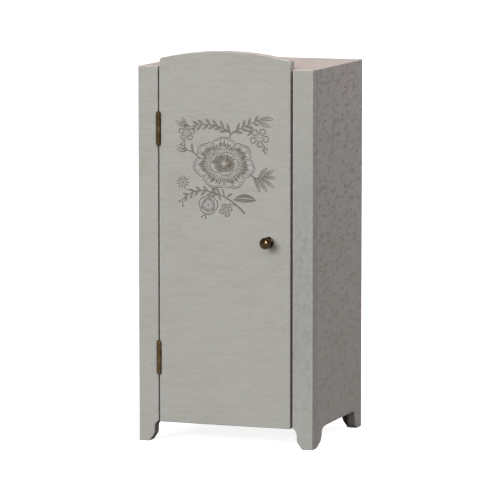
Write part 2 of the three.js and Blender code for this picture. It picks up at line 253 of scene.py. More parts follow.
# ---- finishes ----

PAINT = tone(0.427, 0.427, 0.418)
PAINT_SHADE = tone(0.388, 0.390, 0.356)
PAINT_PALE = tone(0.464, 0.467, 0.460)
PAINT_SPECK = tone(0.235, 0.222, 0.205)
# Lighter paint for rounded edges: rubbed wear, and a painted highlight where the edges catch the light.
PAINT_WORN_AND_SHEEN = tone(0.540, 0.535, 0.515)
PAINT_DULL = tone(0.318, 0.322, 0.330)
# Painted shade for the inner faces of the back panel's feet.
FOOT_SHADE_TONE = tone(0.075, 0.062, 0.060)


def side_marks(finish):
    """The sides' dark marks: blotches, pits and the broken seams between their strips."""
    blotches = finish.ramp(finish.noise(0.4, 0.14, 0.42, roughness=0.6), 0.48, 0.68, 0.0, 0.5)
    pits = finish.ramp(finish.noise(0.5, 0.15, 0.42, detail=1.5), 0.64, 0.74, 0.0, 0.7)
    breaks = finish.ramp(finish.noise(0.4, 0.4, 0.30, roughness=0.6), 0.30, 0.55)
    seams = finish.times(finish.depth_line(DOOR_BACK, 1.8), 0.6)
    for depth in SIDE_STRIPS:
        seams = finish.math("MAXIMUM", seams, finish.times(finish.depth_line(depth, 1.5), 0.4))
    marks = finish.math("MAXIMUM", finish.math("MAXIMUM", blotches, pits), finish.times(seams, breaks))
    side = finish.ramp(finish.math("ABSOLUTE", finish.facing("X")), 0.6, 0.9)
    return finish.times(finish.times(marks, side), finish.ramp(finish.along("Z"), 20, 190, 0.8, 1.2))


def painted_board(name="painted_board", darkened=0.0, foot_shade=0.0):
    """Matt grey paint: fine level threads across each face, and marks on the sides.

    The second setting makes the board darker in patches below its top, and the third paints shade on the
    inner faces of its feet."""
    finish = Finish(name, specular=0.25)
    clouds = finish.noise(0.035, 0.035, 0.03)
    threads = finish.noise(0.11, 0.20, 0.62, detail=3.5, roughness=0.70)
    weft = finish.noise(0.55, 0.6, 2.0, detail=2.0)
    warp = finish.noise(1.3, 1.0, 0.16, detail=2.0)
    slubs = finish.ramp(finish.noise(0.6, 0.7, 0.40, detail=2.5), 0.64, 0.76)
    colour = finish.mix(finish.ramp(threads, 0.36, 0.64), PAINT_SHADE, PAINT)
    colour = finish.mix(finish.ramp(weft, 0.4, 0.75, 0.0, 0.45), colour, PAINT_PALE)
    colour = finish.mix(finish.ramp(warp, 0.48, 0.75, 0.0, 0.55), colour, PAINT_SHADE)
    colour = finish.mix(finish.ramp(clouds, 0.3, 0.7, 0.0, 0.25), colour, PAINT_PALE)
    colour = finish.mix(finish.times(slubs, 0.6), colour, PAINT_DULL)
    marks = side_marks(finish)
    colour = finish.mix(marks, colour, PAINT_SPECK)
    height = finish.along("Z")
    # Darker in patches, strongest between about 60 and 100 mm up, fading towards the top and part way towards
    # the foot.
    dull = finish.ramp(height, 100, 190, darkened, 0.15 * darkened)
    dull = finish.times(dull, finish.ramp(height, 10, 60, 0.4, 1.0))
    darker_patches = finish.ramp(finish.noise(0.4, 0.4, 0.3, roughness=0.6), 0.38, 0.66, 0.55, 1.3)
    colour = finish.mix(finish.times(dull, darker_patches), colour, PAINT_DULL)
    # Painted shade: the inner faces of the feet, below the case's floor, are darkened by the third setting.
    inward = finish.ramp(finish.facing("Y"), -0.9, -0.6, foot_shade, 0.0)
    under = finish.ramp(height, FOOT_TOP - 0.5, FOOT_TOP, 1.0, 0.0)
    colour = finish.mix(finish.times(inward, under), colour, FOOT_SHADE_TONE)
    # Rubbed paint on the rounded edges, lighter, which is also a painted highlight where the edges catch the
    # light.
    rubbed = finish.times(finish.worn(), finish.ramp(weft, 0.3, 0.6, 0.25, 0.8))
    finish.colour(finish.mix(rubbed, colour, PAINT_WORN_AND_SHEEN))
    finish.roughness(threads, 0.72, 0.88)
    relief = finish.math("ADD", threads, finish.times(weft, 0.4))
    finish.bump(finish.math("SUBTRACT", relief, finish.times(marks, 1.5)), 0.03)
    return finish.material


def printed_ink():
    """The flowers' ink: a thin brown-grey print, broken where the paint's threads stand proud."""
    finish = Finish("printed_ink", specular=0.25)
    threads = finish.noise(0.25, 0.5, 1.6, roughness=0.65)
    blots = finish.noise(0.9, 0.9, 0.9, roughness=0.6)
    colour = finish.mix(blots, tone(0.150, 0.132, 0.110), tone(0.230, 0.212, 0.186))
    finish.colour(finish.mix(finish.ramp(threads, 0.52, 0.74, 0.0, 0.5), colour, PAINT))
    finish.roughness(blots, 0.65, 0.85)
    finish.bump(threads, 0.03)
    return finish.material


def printed_wash():
    """The pale cool tint inside the petals, a little lighter than the paint."""
    finish = Finish("printed_wash", roughness=0.8, specular=0.2)
    threads = finish.noise(0.10, 0.45, 0.85, roughness=0.6)
    blots = finish.noise(0.5, 0.5, 0.5)
    colour = finish.mix(threads, tone(0.440, 0.436, 0.455), tone(0.510, 0.505, 0.530))
    finish.colour(finish.mix(finish.ramp(blots, 0.40, 0.62, 0.1, 0.85), colour, PAINT))
    finish.bump(threads, 0.03)
    return finish.material


def aged_brass(name, tarnish, seat):
    """Dark patina, bare brass on handled edges, and tarnish that changes to the seat's at the door's face."""
    finish = Finish(name, metallic=0.9)
    mottle = finish.noise(1.1, 1.1, 1.1, detail=4.0, roughness=0.6)
    scratches = finish.noise(2.0, 2.0, 9.0, detail=2.0)
    rubs = finish.noise(0.15, 0.15, 0.16, detail=2.0)
    patina = finish.mix(mottle, tone(0.072, 0.044, 0.020), tone(0.170, 0.112, 0.056))
    patina = finish.mix(finish.ramp(rubs, 0.42, 0.62, 0.0, 0.7), patina, tone(0.270, 0.190, 0.110))
    bare = finish.times(finish.worn(), finish.ramp(mottle, 0.35, 0.6, 0.05, 0.40))
    brass = finish.mix(bare, patina, tone(0.360, 0.245, 0.120))
    tarnished = finish.ramp(finish.along("Y"), FRONT - 2.2, FRONT - 1.2, tarnish, seat)
    finish.colour(finish.mix(tarnished, brass, tone(0.014, 0.009, 0.004)))
    finish.roughness(scratches, 0.18, 0.30)
    finish.bump(finish.math("ADD", mottle, finish.times(scratches, 0.4)), 0.02)
    return finish.material


def bare_wood():
    """Plain sanded dowel: long grain along the rail, small pores, a little rubbed colour."""
    finish = Finish("bare_wood", specular=0.3)
    grain = finish.noise(0.06, 1.3, 1.3, detail=4.0, roughness=0.6, distortion=0.4)
    pores = finish.ramp(finish.noise(0.35, 5.0, 5.0, detail=1.0), 0.62, 0.72)
    rubbed = finish.noise(0.25, 0.3, 0.3, detail=2.0)
    colour = finish.mix(finish.ramp(grain, 0.3, 0.7), tone(0.40, 0.26, 0.135), tone(0.62, 0.46, 0.28))
    colour = finish.mix(finish.times(pores, 0.6), colour, tone(0.22, 0.13, 0.06))
    finish.colour(finish.mix(finish.ramp(rubbed, 0.5, 0.75, 0.0, 0.3), colour, tone(0.30, 0.21, 0.13)))
    finish.roughness(grain, 0.5, 0.7)
    finish.bump(finish.math("SUBTRACT", grain, pores), 0.03)
    return finish.material


def plated_steel():
    """Bright plated steel with turning marks and dull handling spots."""
    finish = Finish("plated_steel", metallic=1.0)
    marks = finish.noise(6.0, 1.5, 6.0, detail=2.0)
    spots = finish.noise(0.8, 0.8, 0.8)
    colour = finish.mix(marks, tone(0.42, 0.43, 0.44), tone(0.62, 0.62, 0.61))
    colour = finish.mix(finish.ramp(spots, 0.5, 0.75, 0.0, 0.6), colour, tone(0.30, 0.29, 0.27))
    finish.colour(finish.mix(finish.times(finish.worn(), 0.5), colour, tone(0.75, 0.75, 0.74)))
    finish.roughness(spots, 0.22, 0.45)
    finish.bump(marks, 0.01)
    return finish.material


def sintered_magnet():
    """Dark sintered magnet: fine grains, small chips at the rim."""
    finish = Finish("sintered_magnet", metallic=0.7)
    grains = finish.noise(4.0, 4.0, 4.0)
    chips = finish.ramp(finish.noise(1.6, 1.6, 1.6, detail=2.0), 0.55, 0.7)
    colour = finish.mix(grains, tone(0.045, 0.045, 0.048), tone(0.11, 0.11, 0.115))
    bright = finish.times(finish.worn(), chips)
    finish.colour(finish.mix(bright, colour, tone(0.32, 0.32, 0.33)))
    finish.roughness(grains, 0.35, 0.6)
    finish.bump(grains, 0.02)
    return finish.material


FINISHES = {
    "painted_board": painted_board(),
    "aged_brass": aged_brass("aged_brass", tarnish=0.16, seat=0.16),
    "bare_wood": bare_wood(),
    "steel": plated_steel(),
    "magnet": sintered_magnet(),
}
# The right stile's board: darker in patches below its top.
DARKENED_BOARD = painted_board("darkened_board", darkened=0.65)
# The back panel's board, with painted shade on its feet's inner faces.
SHADED_FEET_BOARD = painted_board("shaded_feet_board", foot_shade=0.8)
KNOB_BRASS = aged_brass("knob_brass", tarnish=0.60, seat=0.88)


# ---- pieces ----

def linked(name, data):
    made = bpy.data.objects.new(name, data)
    bpy.context.scene.collection.objects.link(made)
    return made


def new_object(name, mesh):
    """An object in metres from a bmesh in millimetres."""
    bmesh.ops.recalc_face_normals(mesh, faces=mesh.faces)
    bmesh.ops.transform(mesh, matrix=Matrix.Scale(MM, 4), verts=mesh.verts)
    data = bpy.data.meshes.new(name)
    mesh.to_mesh(data)
    mesh.free()
    return linked(name, data)


def settle(piece):
    """Makes the piece's modifiers part of its mesh."""
    graph = bpy.context.evaluated_depsgraph_get()
    data = bpy.data.meshes.new_from_object(piece.evaluated_get(graph))
    piece.modifiers.clear()
    piece.data = data


def carve(piece, cutter):
    """Cuts the second object out of the first, and removes it."""
    turned = cutter.data.attributes.get("edge")
    if turned:
        cutter.data.attributes.remove(turned)
    cut = piece.modifiers.new("cut", "BOOLEAN")
    cut.object = cutter
    cut.solver = "EXACT"
    settle(piece)
    piece.data.set_sharp_from_angle(angle=math.radians(40))
    bpy.data.objects.remove(cutter)


def stand_in(piece, node, finish=None):
    """The piece takes its CAD node's body and the finish for the node's slot, or the finish given, and the
    node is hidden.
    """
    piece.data.materials.clear()
    piece.data.materials.append(finish or FINISHES[SLOTS[node]])
    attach(piece, frame["nodes"][node]["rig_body"])
    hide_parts(node)
    return piece


def rectangle(left, low, right, high):
    return [(left, low), (right, low), (right, high), (left, high)]


def place_front(across, up, depth):
    return (across, depth, up)


def place_side(across, up, depth):
    return (depth, across, up)


def place_flat(across, up, depth):
    return (across, up, depth)


def prism(outline, place, low, high):
    """A closed bmesh: an outline at one depth, and the same outline at another."""
    mesh = bmesh.new()
    first, last = [[mesh.verts.new(place(*point, depth)) for point in outline] for depth in (low, high)]
    mesh.faces.new(first)
    mesh.faces.new(reversed(last))
    for index in range(len(outline)):
        following = (index + 1) % len(outline)
        mesh.faces.new((first[following], first[index], last[index], last[following]))
    return mesh


def eased(piece, width_at, largest=ARRIS, segments=4):
    """Rounds the sharp edges. width_at gives an edge's rounding from its middle and its direction."""
    mesh = bmesh.new()
    mesh.from_mesh(piece.data)
    weight = mesh.edges.layers.float.new("bevel_weight_edge")
    sharp = math.radians(25)
    for edge in mesh.edges:
        if edge.calc_face_angle(0) > sharp:
            first, second = (vertex.co / MM for vertex in edge.verts)
            width = width_at((first + second) / 2, (second - first).normalized())
            edge[weight] = width / largest
    mesh.to_mesh(piece.data)
    mesh.free()
    bevel = piece.modifiers.new("eased", "BEVEL")
    bevel.limit_method = "WEIGHT"
    bevel.width = largest * MM
    bevel.segments = segments
    bevel.use_clamp_overlap = False
    piece.data.materials.append(None)
    piece.data.materials.append(None)
    bevel.material = 1
    settle(piece)
    mark_eased(piece)
    piece.data.shade_smooth()


def mark_eased(piece):
    """Stores 1 on the rounded edges' middles and 0 on the flats, for the wear in the finishes and the painted
    highlight on the paint's edges.
    """
    data = piece.data
    flat = {corner for face in data.polygons if face.material_index == 0 for corner in face.vertices}
    values = []
    for face in data.polygons:
        for corner in face.vertices:
            values.append(0.0 if face.material_index == 0 else 0.3 if corner in flat else 1.0)
    layer = data.attributes.new("edge", "FLOAT", "CORNER")
    layer.data.foreach_set("value", values)
    for face in data.polygons:
        face.material_index = 0


def crisp(piece):
    """Keeps large flat faces flat in the shading, beside the rounded edges."""
    normals = piece.modifiers.new("flats", "WEIGHTED_NORMAL")
    normals.keep_sharp = True


def lathe(name, profile, axis, origin, segments=48):
    """Turns a profile of (radius, along) points about an axis through the origin."""
    along = Vector(axis).normalized()
    first = along.orthogonal().normalized()
    second = along.cross(first)
    mesh = bmesh.new()
    rings = []
    turns = [2 * math.pi * step / segments for step in range(segments)]
    rim = [first * math.cos(turn) + second * math.sin(turn) for turn in turns]
    for radius, height in profile:
        centre = Vector(origin) + along * height
        ways = rim if radius > 1e-6 else [Vector()]
        rings.append([mesh.verts.new(centre + radius * way) for way in ways])
    for lower, upper in zip(rings, rings[1:]):
        for step in range(segments):
            following = (step + 1) % segments
            corners_here = [lower[step % len(lower)], lower[following % len(lower)]]
            corners_here += [upper[following % len(upper)], upper[step % len(upper)]]
            mesh.faces.new(list(dict.fromkeys(corners_here)))
    made = new_object(name, mesh)
    mark_turned(made)
    made.data.shade_smooth()
    made.data.set_sharp_from_angle(angle=math.radians(50))
    return made


def turned(node, profile, axis, origin, segments=48, finish=None):
    """A CAD node's stand-in, turned from a profile."""
    stand_in(lathe(f"fine_{node}", profile, axis, origin, segments), node, finish)


def drill(piece, spot, inward, radius, depth):
    """Cuts a round socket into the piece from a spot on its face."""
    carve(piece, lathe("cutter", rectangle(0, -1, radius, depth), inward, spot))


def mark_turned(piece, tight=0.35):
    """Stores how tightly the surface bulges at each point: 1 where its radius is at most tight."""
    points = piece.data.vertices
    bulge = [0.0] * len(points)
    for edge in piece.data.edges:
        first, second = (points[index] for index in edge.vertices)
        step = (second.co - first.co) / MM
        for point, way in ((first, step), (second, -step)):
            bulge[point.index] = max(bulge[point.index], -point.normal.dot(way) / way.length_squared)
    layer = piece.data.attributes.new("edge", "FLOAT", "POINT")
    layer.data.foreach_set("value", [min(1.0, 2 * tight * value) for value in bulge])


def bow(start, control, end, steps=10):
    """Points on a quadratic curve, both ends included. Points are complex numbers: across + up * 1j."""
    return [start * (1 - t) ** 2 + 2 * control * t * (1 - t) + end * t * t
            for t in (step / steps for step in range(steps + 1))]


def curve(start, control, end, steps=8):
    """The points after the start on a quadratic curve through an outline's points."""
    points = bow(complex(*start), complex(*control), complex(*end), steps)
    return [(point.real, point.imag) for point in points[1:]]


def arc(centre, radius, start, end, steps):
    """Points round a circle between two angles in degrees, the end included."""
    turns = [math.radians(start + (end - start) * step / steps) for step in range(steps + 1)]
    return [(centre[0] + radius * math.cos(a), centre[1] + radius * math.sin(a)) for a in turns]


# ---- carcass ----

def foot():
    """The inner edge of a bracket foot, as (distance from the outer edge, height) from the floor up."""
    low, high = FOOT_ANKLE_HEIGHTS
    points = [(FOOT_SOLE, 0), FOOT_TOE]
    points += curve(FOOT_TOE, (FOOT_ANKLE, (FOOT_TOE[1] + low) / 2), (FOOT_ANKLE, low))
    points.append((FOOT_ANKLE, high))
    points += curve(points[-1], (FOOT_ANKLE, FOOT_TOP - 1.25), (STILE, FOOT_TOP))
    return points


def side_foot(sole, toe, ankle, cove):
    """The edge of a side board's foot, as (distance from the front or the back, height)."""
    points = [(sole, 0), toe]
    points += curve(toe, (ankle[0] - 0.5, toe[1] + 1.5), ankle)
    points += curve(ankle, (ankle[0] + 0.5, SIDE_CUTOUT - 0.25), (cove, SIDE_CUTOUT))
    return points


def near(value, plane):
    return abs(value - plane) < 0.01


def stile(node, side):
    low, high = corners(node)
    outer = low.x if side < 0 else high.x
    outline = [(outer, 0)]
    outline += [(outer - side * distance, height) for distance, height in foot()]
    outline += [(outer - side * STILE, high.z), (outer, high.z)]
    piece = new_object(f"fine_{node}", prism(outline, place_front, low.y, high.y))

    def width_at(middle, way):
        if near(middle.y, low.y):
            return ARRIS
        if near(middle.y, high.y):
            return SEAM if near(middle.x, outer) else FILLED
        return 2 * EASED

    eased(piece, width_at)
    if side < 0:
        seat_hinges(piece, side)
    crisp(stand_in(piece, node, DARKENED_BOARD if side > 0 else None))


def seat_hinges(wood, side):
    """Cuts a round-ended groove for each hinge's barrel, and the shallow recess that its leaf lies in."""
    face, bed = (HINGE_AXIS.x + side * reach for reach in (LEAF_NEAR, LEAF_FAR))
    for height in HINGE_HEIGHTS.values():
        outline = rectangle(face, height - RECESS_HALF, bed, height + RECESS_HALF)
        carve(wood, new_object("cutter", prism(outline, place_front, FRONT - 1, HINGE_AXIS.y + RECESS_END)))
        straight = GROOVE_HALF - GROOVE_RADIUS
        groove = arc((0, -straight), GROOVE_RADIUS, -90, 0, 8) + arc((0, straight), GROOVE_RADIUS, 0, 90, 8)
        carve(wood, lathe("cutter", groove, (0, 0, 1), (HINGE_AXIS.x, HINGE_AXIS.y, height)))


def back_panel():
    low, high = corners("back_panel")
    outline = [(low.x, 0)]
    outline += [(low.x + distance, height) for distance, height in foot()]
    outline += [(high.x - distance, height) for distance, height in reversed(foot())]
    outline += [(high.x, 0), (high.x, high.z), (low.x, high.z)]
    piece = new_object("fine_back_panel", prism(outline, place_front, low.y, high.y))

    def width_at(middle, way):
        if near(middle.y, high.y):
            return ARRIS
        if near(middle.y, low.y):
            return FILLED if near(middle.z, high.z) else SEAM
        return 2 * EASED

    eased(piece, width_at)
    # Its finish paints shade on the inner faces of its feet.
    crisp(stand_in(piece, "back_panel", SHADED_FEET_BOARD))


def side_board(node, side):
    low, high = corners(node)
    outer = low.x if side < 0 else high.x
    back = high.y + BOARD
    outline = [(low.y, 0)]
    outline += [(FRONT + depth, height) for depth, height in side_foot(**SIDE_FRONT_FOOT)]
    outline += [(back - depth, height) for depth, height in reversed(side_foot(**SIDE_BACK_FOOT))]
    outline += [(high.y, 0), (high.y, high.z), (low.y, high.z)]
    piece = new_object(f"fine_{node}", prism(outline, place_side, low.x, high.x))
    rail = middle_of("hanging_rail")
    inner = high.x if side < 0 else low.x

    def width_at(middle, way):
        if near(middle.z, high.z) and not near(middle.x, outer):
            return FILLED
        if near(middle.y, low.y) or near(middle.y, high.y):
            return SEAM if near(middle.x, outer) else EASED
        if abs(way.x) > 0.9:
            return EASED
        return ARRIS

    eased(piece, width_at)
    drill(piece, (inner, rail.y, rail.z), (side, 0, 0), *RAIL_SOCKET)
    crisp(stand_in(piece, node))


def shelf(node):
    low, high = corners(node)
    outline = rectangle(low.x, low.y, high.x, high.y)
    piece = new_object(f"fine_{node}", prism(outline, place_flat, low.z, high.z))
    eased(piece, lambda middle, way: EASED if near(middle.y, low.y) else FILLED, segments=3)
    if node == "top_panel":
        magnet = middle_of("catch_magnet")
        drill(piece, (magnet.x, low.y, magnet.z), (0, 1, 0), *MAGNET_POCKET)
    crisp(stand_in(piece, node))


def hanging_rail():
    """A dowel with a small chamfer at each end, and sanding waves 0.02 mm deep along it."""
    low, high = corners("hanging_rail")
    reach = high.x
    radius = (high.z - low.z) / 2
    chamfer, waves, steps = 0.3, 0.02, 60
    profile = [(0, -reach), (radius - chamfer, -reach), (radius, chamfer - reach)]
    for step in range(1, steps):
        along = (reach - chamfer) * (2 * step / steps - 1)
        profile.append((radius - waves - waves * math.sin(along * 0.9) * math.cos(along * 0.31), along))
    profile += [(radius, reach - chamfer), (radius - chamfer, reach), (0, reach)]
    centre = middle_of("hanging_rail")
    turned("hanging_rail", profile, (1, 0, 0), (0, centre.y, centre.z))


def lying_disc(node):
    """The radius, length and middle of a disc that faces along y."""
    low, high = corners(node)
    return (high.z - low.z) / 2, high.y - low.y, middle_of(node)


def catch_magnet():
    """A round magnet with a rounded rim and a small dimple in its face."""
    radius, length, centre = lying_disc("catch_magnet")
    profile = [(0, 0.12), (0.5, 0.12)] + arc((0.68, 0.12), 0.12, 180, 270, 4)
    profile += arc((radius - 0.25, 0.25), 0.25, -90, 0, 5) + [(radius, length), (0, length)]
    turned("catch_magnet", profile, (0, 1, 0), (centre.x, centre.y - length / 2, centre.z))


def catch_strike():
    """A round plate with a ring groove and a domed middle."""
    radius, length, centre = lying_disc("catch_strike")
    profile = [(0, -length), (radius, -length)] + arc((radius - 0.15, -0.15), 0.15, 0, 90, 4)
    profile += [(1.25, 0), (1.1, -0.06), (0.9, -0.06), (0.8, 0.02)] + arc((0.2, -0.35), 0.45, 50, 90, 4)
    profile.append((0, 0.1))
    turned("catch_strike", profile, (0, 1, 0), (centre.x, centre.y + length / 2, centre.z))


# ---- door ----

def door_outline():
    """Straight sides, one shallow arc for the crown, and a short curve at each top corner."""
    low, high = corners("door")
    middle = (low.x + high.x) / 2
    half = (high.x - low.x) / 2
    rise = CROWN - SHOULDER
    radius = (half ** 2 + rise ** 2) / (2 * rise)
    centre = CROWN - radius
    reach = half - CORNER
    shoulder = centre + math.sqrt(radius ** 2 - reach ** 2)
    swing = math.degrees(math.asin(reach / radius))
    right = curve((high.x, SHOULDER - CORNER), (high.x, shoulder), (middle + reach, shoulder), 6)
    crown = arc((middle, centre), radius, 90 - swing, 90 + swing, 40)
    left = curve((middle - reach, shoulder), (low.x, shoulder), (low.x, SHOULDER - CORNER), 6)
    return [(low.x, low.z), (high.x, low.z), (high.x, SHOULDER - CORNER)] + right + crown[1:] + left


def door():
    low, high = corners("door")
    piece = new_object("fine_door", prism(door_outline(), place_front, low.y, high.y))
    eased(piece, lambda middle, way: 2 * EASED if abs(way.y) > 0.9 else ARRIS)
    seat_hinges(piece, 1)
    strike = middle_of("catch_strike")
    drill(piece, (strike.x, high.y, strike.z), (0, -1, 0), *STRIKE_POCKET)
    crisp(stand_in(piece, "door"))


def knob():
    """Foot disc, cove, one bead, a neck and an oblate head, turned in one piece."""
    centre = middle_of("knob")
    profile = [(0, 0), (2.75, 0)] + arc((2.6, 0.3), 0.3, -60, 90, 6)
    profile += curve((2.6, 0.6), (1.75, 0.7), (1.5, 1.85), 6)
    profile += arc((1.45, 2.45), 0.45, -70, 70, 8)
    profile += curve((1.5, 2.95), (1.4, 3.4), (1.72, 3.63), 4)
    reach = FRONT - corners("knob")[0].y
    head, radius, neck, steps = 5.6, 3, -55, 24
    for step in range(1, steps):
        angle = math.radians(neck + (90 - neck) * step / steps)
        profile.append((radius * math.cos(angle), head + (reach - head) * math.sin(angle)))
    profile.append((0, reach))
    turned("knob", profile, (0, -1, 0), (centre.x, FRONT, centre.z), 64, KNOB_BRASS)


def knob_screw():
    """A screw with a domed head and one slot across it."""
    centre = middle_of("knob_screw")
    profile = [(0, -10), (0.7, -10), (0.7, 0), (1.95, 0)] + arc((0, -1.35), 2.6, 36, 90, 12)
    profile[-1] = (0, 1.25)
    screw = lathe("fine_knob_screw", profile, (0, 1, 0), (centre.x, DOOR_BACK, centre.z))
    slot = rectangle(centre.x - 3, centre.z - 0.25, centre.x + 3, centre.z + 0.25)
    carve(screw, new_object("cutter", prism(slot, place_front, DOOR_BACK + 0.65, DOOR_BACK + 2)))
    stand_in(screw, "knob_screw")


# ---- hinges ----

def curl_outline():
    """The strap's section round the pin, from the leaf's far face right round to its near face."""
    leave = math.degrees(math.acos(LEAF_FAR / KNUCKLE_RADIUS))
    rejoin = math.degrees(math.acos(LEAF_NEAR / BORE_RADIUS))
    lip = -265
    outer = arc((0, 0), KNUCKLE_RADIUS, leave, lip, 36)
    inner = arc((0, 0), BORE_RADIUS, lip, rejoin, 30)
    return outer + inner


def wall(mesh, below, above):
    for index in range(len(below) - 1):
        mesh.faces.new((below[index], below[index + 1], above[index + 1], above[index]))


def leaf_mesh(side, height, curled):
    """One hinge leaf: a full-height plate, with the strap curled round the pin where curled says."""
    plate = [(LEAF_FAR, LEAF_NECK), (LEAF_FAR, LEAF_END), (LEAF_NEAR, LEAF_END), (LEAF_NEAR, LEAF_NECK)]
    curl = [plate[0]] + curl_outline() + [plate[3]]
    gap = OUTER_KNUCKLE if curled[0] else MIDDLE_KNUCKLE
    levels = [-HALF_BARREL, -gap, gap, HALF_BARREL]
    mesh = bmesh.new()

    def ring(points, level):
        return [mesh.verts.new((
            HINGE_AXIS.x + side * across, HINGE_AXIS.y + depth, height + level)) for across, depth in points]

    plates = [ring(plate, level) for level in levels]
    curls = [[p[0]] + ring(curl[1:-1], level) + [p[3]] for p, level in zip(plates, levels)]
    for slab, has_curl in enumerate(curled):
        below, above = plates[slab], plates[slab + 1]
        wall(mesh, below, above)
        if has_curl:
            wall(mesh, curls[slab], curls[slab + 1])
        else:
            mesh.faces.new((below[3], below[0], above[0], above[3]))
    bounded = [False, *curled, False]
    for level, curl_ring in enumerate(curls):
        if bounded[level] != bounded[level + 1]:
            mesh.faces.new(curl_ring)
        if level in (0, 3):
            mesh.faces.new(plates[level])
    loose = [vertex for vertex in mesh.verts if not vertex.link_faces]
    bmesh.ops.delete(mesh, geom=loose, context="VERTS")
    return mesh


def hinge_leaf(level, height, name, side, curled):
    node = f"{level}_hinge_{name}_leaf"
    piece = new_object(f"fine_{node}", leaf_mesh(side, height, curled))

    def width_at(middle, way):
        on_rim = math.hypot(middle.x - HINGE_AXIS.x, middle.y - HINGE_AXIS.y) > KNUCKLE_RADIUS - 0.02
        return BARREL_ROUND if on_rim and near(abs(middle.z - height), HALF_BARREL) else 0.09

    eased(piece, width_at, largest=BARREL_ROUND, segments=3)
    crisp(stand_in(piece, node))


def hinge_pin(level, height):
    head = arc((0, HALF_BARREL - 0.55), 1.05, 31.5, 90, 8)
    head[-1] = (0, HALF_BARREL + 0.5)
    upper = [(0.55, 0), (0.55, HALF_BARREL)] + head
    lower = [(radius, -along) for radius, along in reversed(upper[1:])]
    turned(f"{level}_hinge_pin", lower + upper, (0, 0, 1), (HINGE_AXIS.x, HINGE_AXIS.y, height), 32)


def hinge_nail(level, height, name, side, place):
    """A round-headed nail: the dome stands a little proud of the leaf."""
    profile = [(0, -5), (0.15, -4.8), (0.4, -4), (0.4, -0.3), (0.85, -0.3), (0.9, -0.05)]
    profile += arc((0, -1.9), 2.0, 63, 90, 6)
    profile[-1] = (0, 0.1)
    face = HINGE_AXIS.x + side * LEAF_NEAR
    origin = (face, HINGE_AXIS.y + NAIL_DEPTH, height + HINGE_NAILS[place])
    turned(f"{level}_hinge_{name}_nail_{place}", profile, (-side, 0, 0), origin, 24)


def hinges():
    for level, height in HINGE_HEIGHTS.items():
        hinge_leaf(level, height, "frame", -1, [True, False, True])
        hinge_leaf(level, height, "door", 1, [False, True, False])
        hinge_pin(level, height)
        for name, side in (("frame", -1), ("door", 1)):
            for place in HINGE_NAILS:
                hinge_nail(level, height, name, side, place)


# ---- printed flowers ----
# A drawing of strokes. Points are complex numbers: across + up * 1j, from the bloom's middle.

INK_SINK = 0.02
INK_LOW = 0.012
INK_STEP = 0.00006
ink = []
wash = []
hand = random.Random(11)


def polar(reach, degrees, squash=1.0):
    """A point that far out at that angle, its height squashed."""
    point = cmath.rect(reach, math.radians(degrees))
    return complex(point.real, point.imag * squash)


def taper(points, width, tip=0.35):
    """Widths that swell in the middle of a stroke and thin out to both tips."""
    last = len(points) - 1
    return [width * (tip + (1 - tip) * math.sin(math.pi * index / last)) for index in range(last + 1)]


def draw(points, width, tip=0.35, shaky=0.05):
    moved = [point + complex(hand.uniform(-shaky, shaky), hand.uniform(-shaky, shaky)) for point in points]
    ink.append((moved, taper(points, width, tip)))


def fall(points, start, end):
    """Draws a stem that thins from its start to its end."""
    last = len(points) - 1
    ink.append((points, [start + (end - start) * index / last for index in range(last + 1)]))


def spoke(centre, degrees, inner, outer, width, tip=0.35, shaky=0.05, squash=1.0):
    draw([centre + polar(reach, degrees, squash) for reach in (inner, outer)], width, tip, shaky)


def hatch(centre, first, last, width, bulge=1.0):
    """A short shading stroke between two points round the centre, pushed outwards in its middle."""
    draw([centre + first, centre + (first + last) / 2 * bulge, centre + last], width, 0.3, 0.05)


def leaf_lines(base, tip, lean, spread, power):
    """The way across a leaf, its bowed middle, and a line that swells that far out on each side of it."""
    along = tip - base
    aside = along * 1j / abs(along)
    middle = bow(base, base + along / 2 + aside * lean * abs(along), tip)
    sides = [[point + aside * way * spread * math.sin(math.pi * index / 10) ** power
              for index, point in enumerate(middle)] for way in (1, -1)]
    return aside, middle, sides


def filled_leaf(base, tip, width, lean=0.12):
    """A leaf in two dark halves, with a pale rib left between them."""
    for half in leaf_lines(base, tip, lean, width * 0.30, 0.8)[2]:
        ink.append((half, taper(half, width * 0.34, 0.2)))


def open_leaf(base, tip, width, lean=0.1):
    """An outlined leaf with a rib and a few short veins."""
    aside, middle, edges = leaf_lines(base, tip, lean, width * 0.5, 0.75)
    for edge in edges:
        draw(edge, 0.36, 0.5, 0.03)
    draw(middle[:8], 0.34, 0.5, 0.02)
    for index in (2, 4, 6):
        for way in (1, -1):
            draw([middle[index], middle[index + 1] + aside * way * width * 0.3], 0.26)


def sprig(stem, leaves, length, width, kind=filled_leaf):
    """Leaves in pairs along a stem, swept forwards, smaller towards the tip."""
    for place in range(leaves):
        share = (place + 0.7) / (leaves + 0.5)
        index = min(int(share * (len(stem) - 1)), len(stem) - 2)
        ahead = stem[index + 1] - stem[index]
        ahead /= abs(ahead)
        size = length * (1.05 - 0.3 * share)
        for way in (1, -1):
            turn = polar(1, way * hand.uniform(34, 46))
            base = stem[index] + ahead * (turn * 0.5 + 0.6 * way)
            kind(base, base + ahead * turn * size, width, lean=-0.10 * way)


def petal_rim(centre, middle, half, inner, outer, squash, lobes=3, bump=0.06, steps=22):
    """A scalloped petal's rim in polar form round the bloom's centre."""
    points = []
    for step in range(steps + 1):
        t = step / steps
        angle = middle - half * math.cos(math.pi * t) * (0.82 + 0.18 * math.sin(math.pi * t))
        reach = inner + (outer - inner) * math.sin(math.pi * t) ** 0.45
        reach *= 1 + bump * (abs(math.sin(lobes * math.pi * t)) - 0.5) * math.sin(math.pi * t)
        points.append(centre + polar(reach, angle, squash))
    return points


def plain_petal(centre, middle, half, inner, outer, steps):
    return petal_rim(centre, middle, half, inner, outer, 0.95, 1, 0.0, steps)


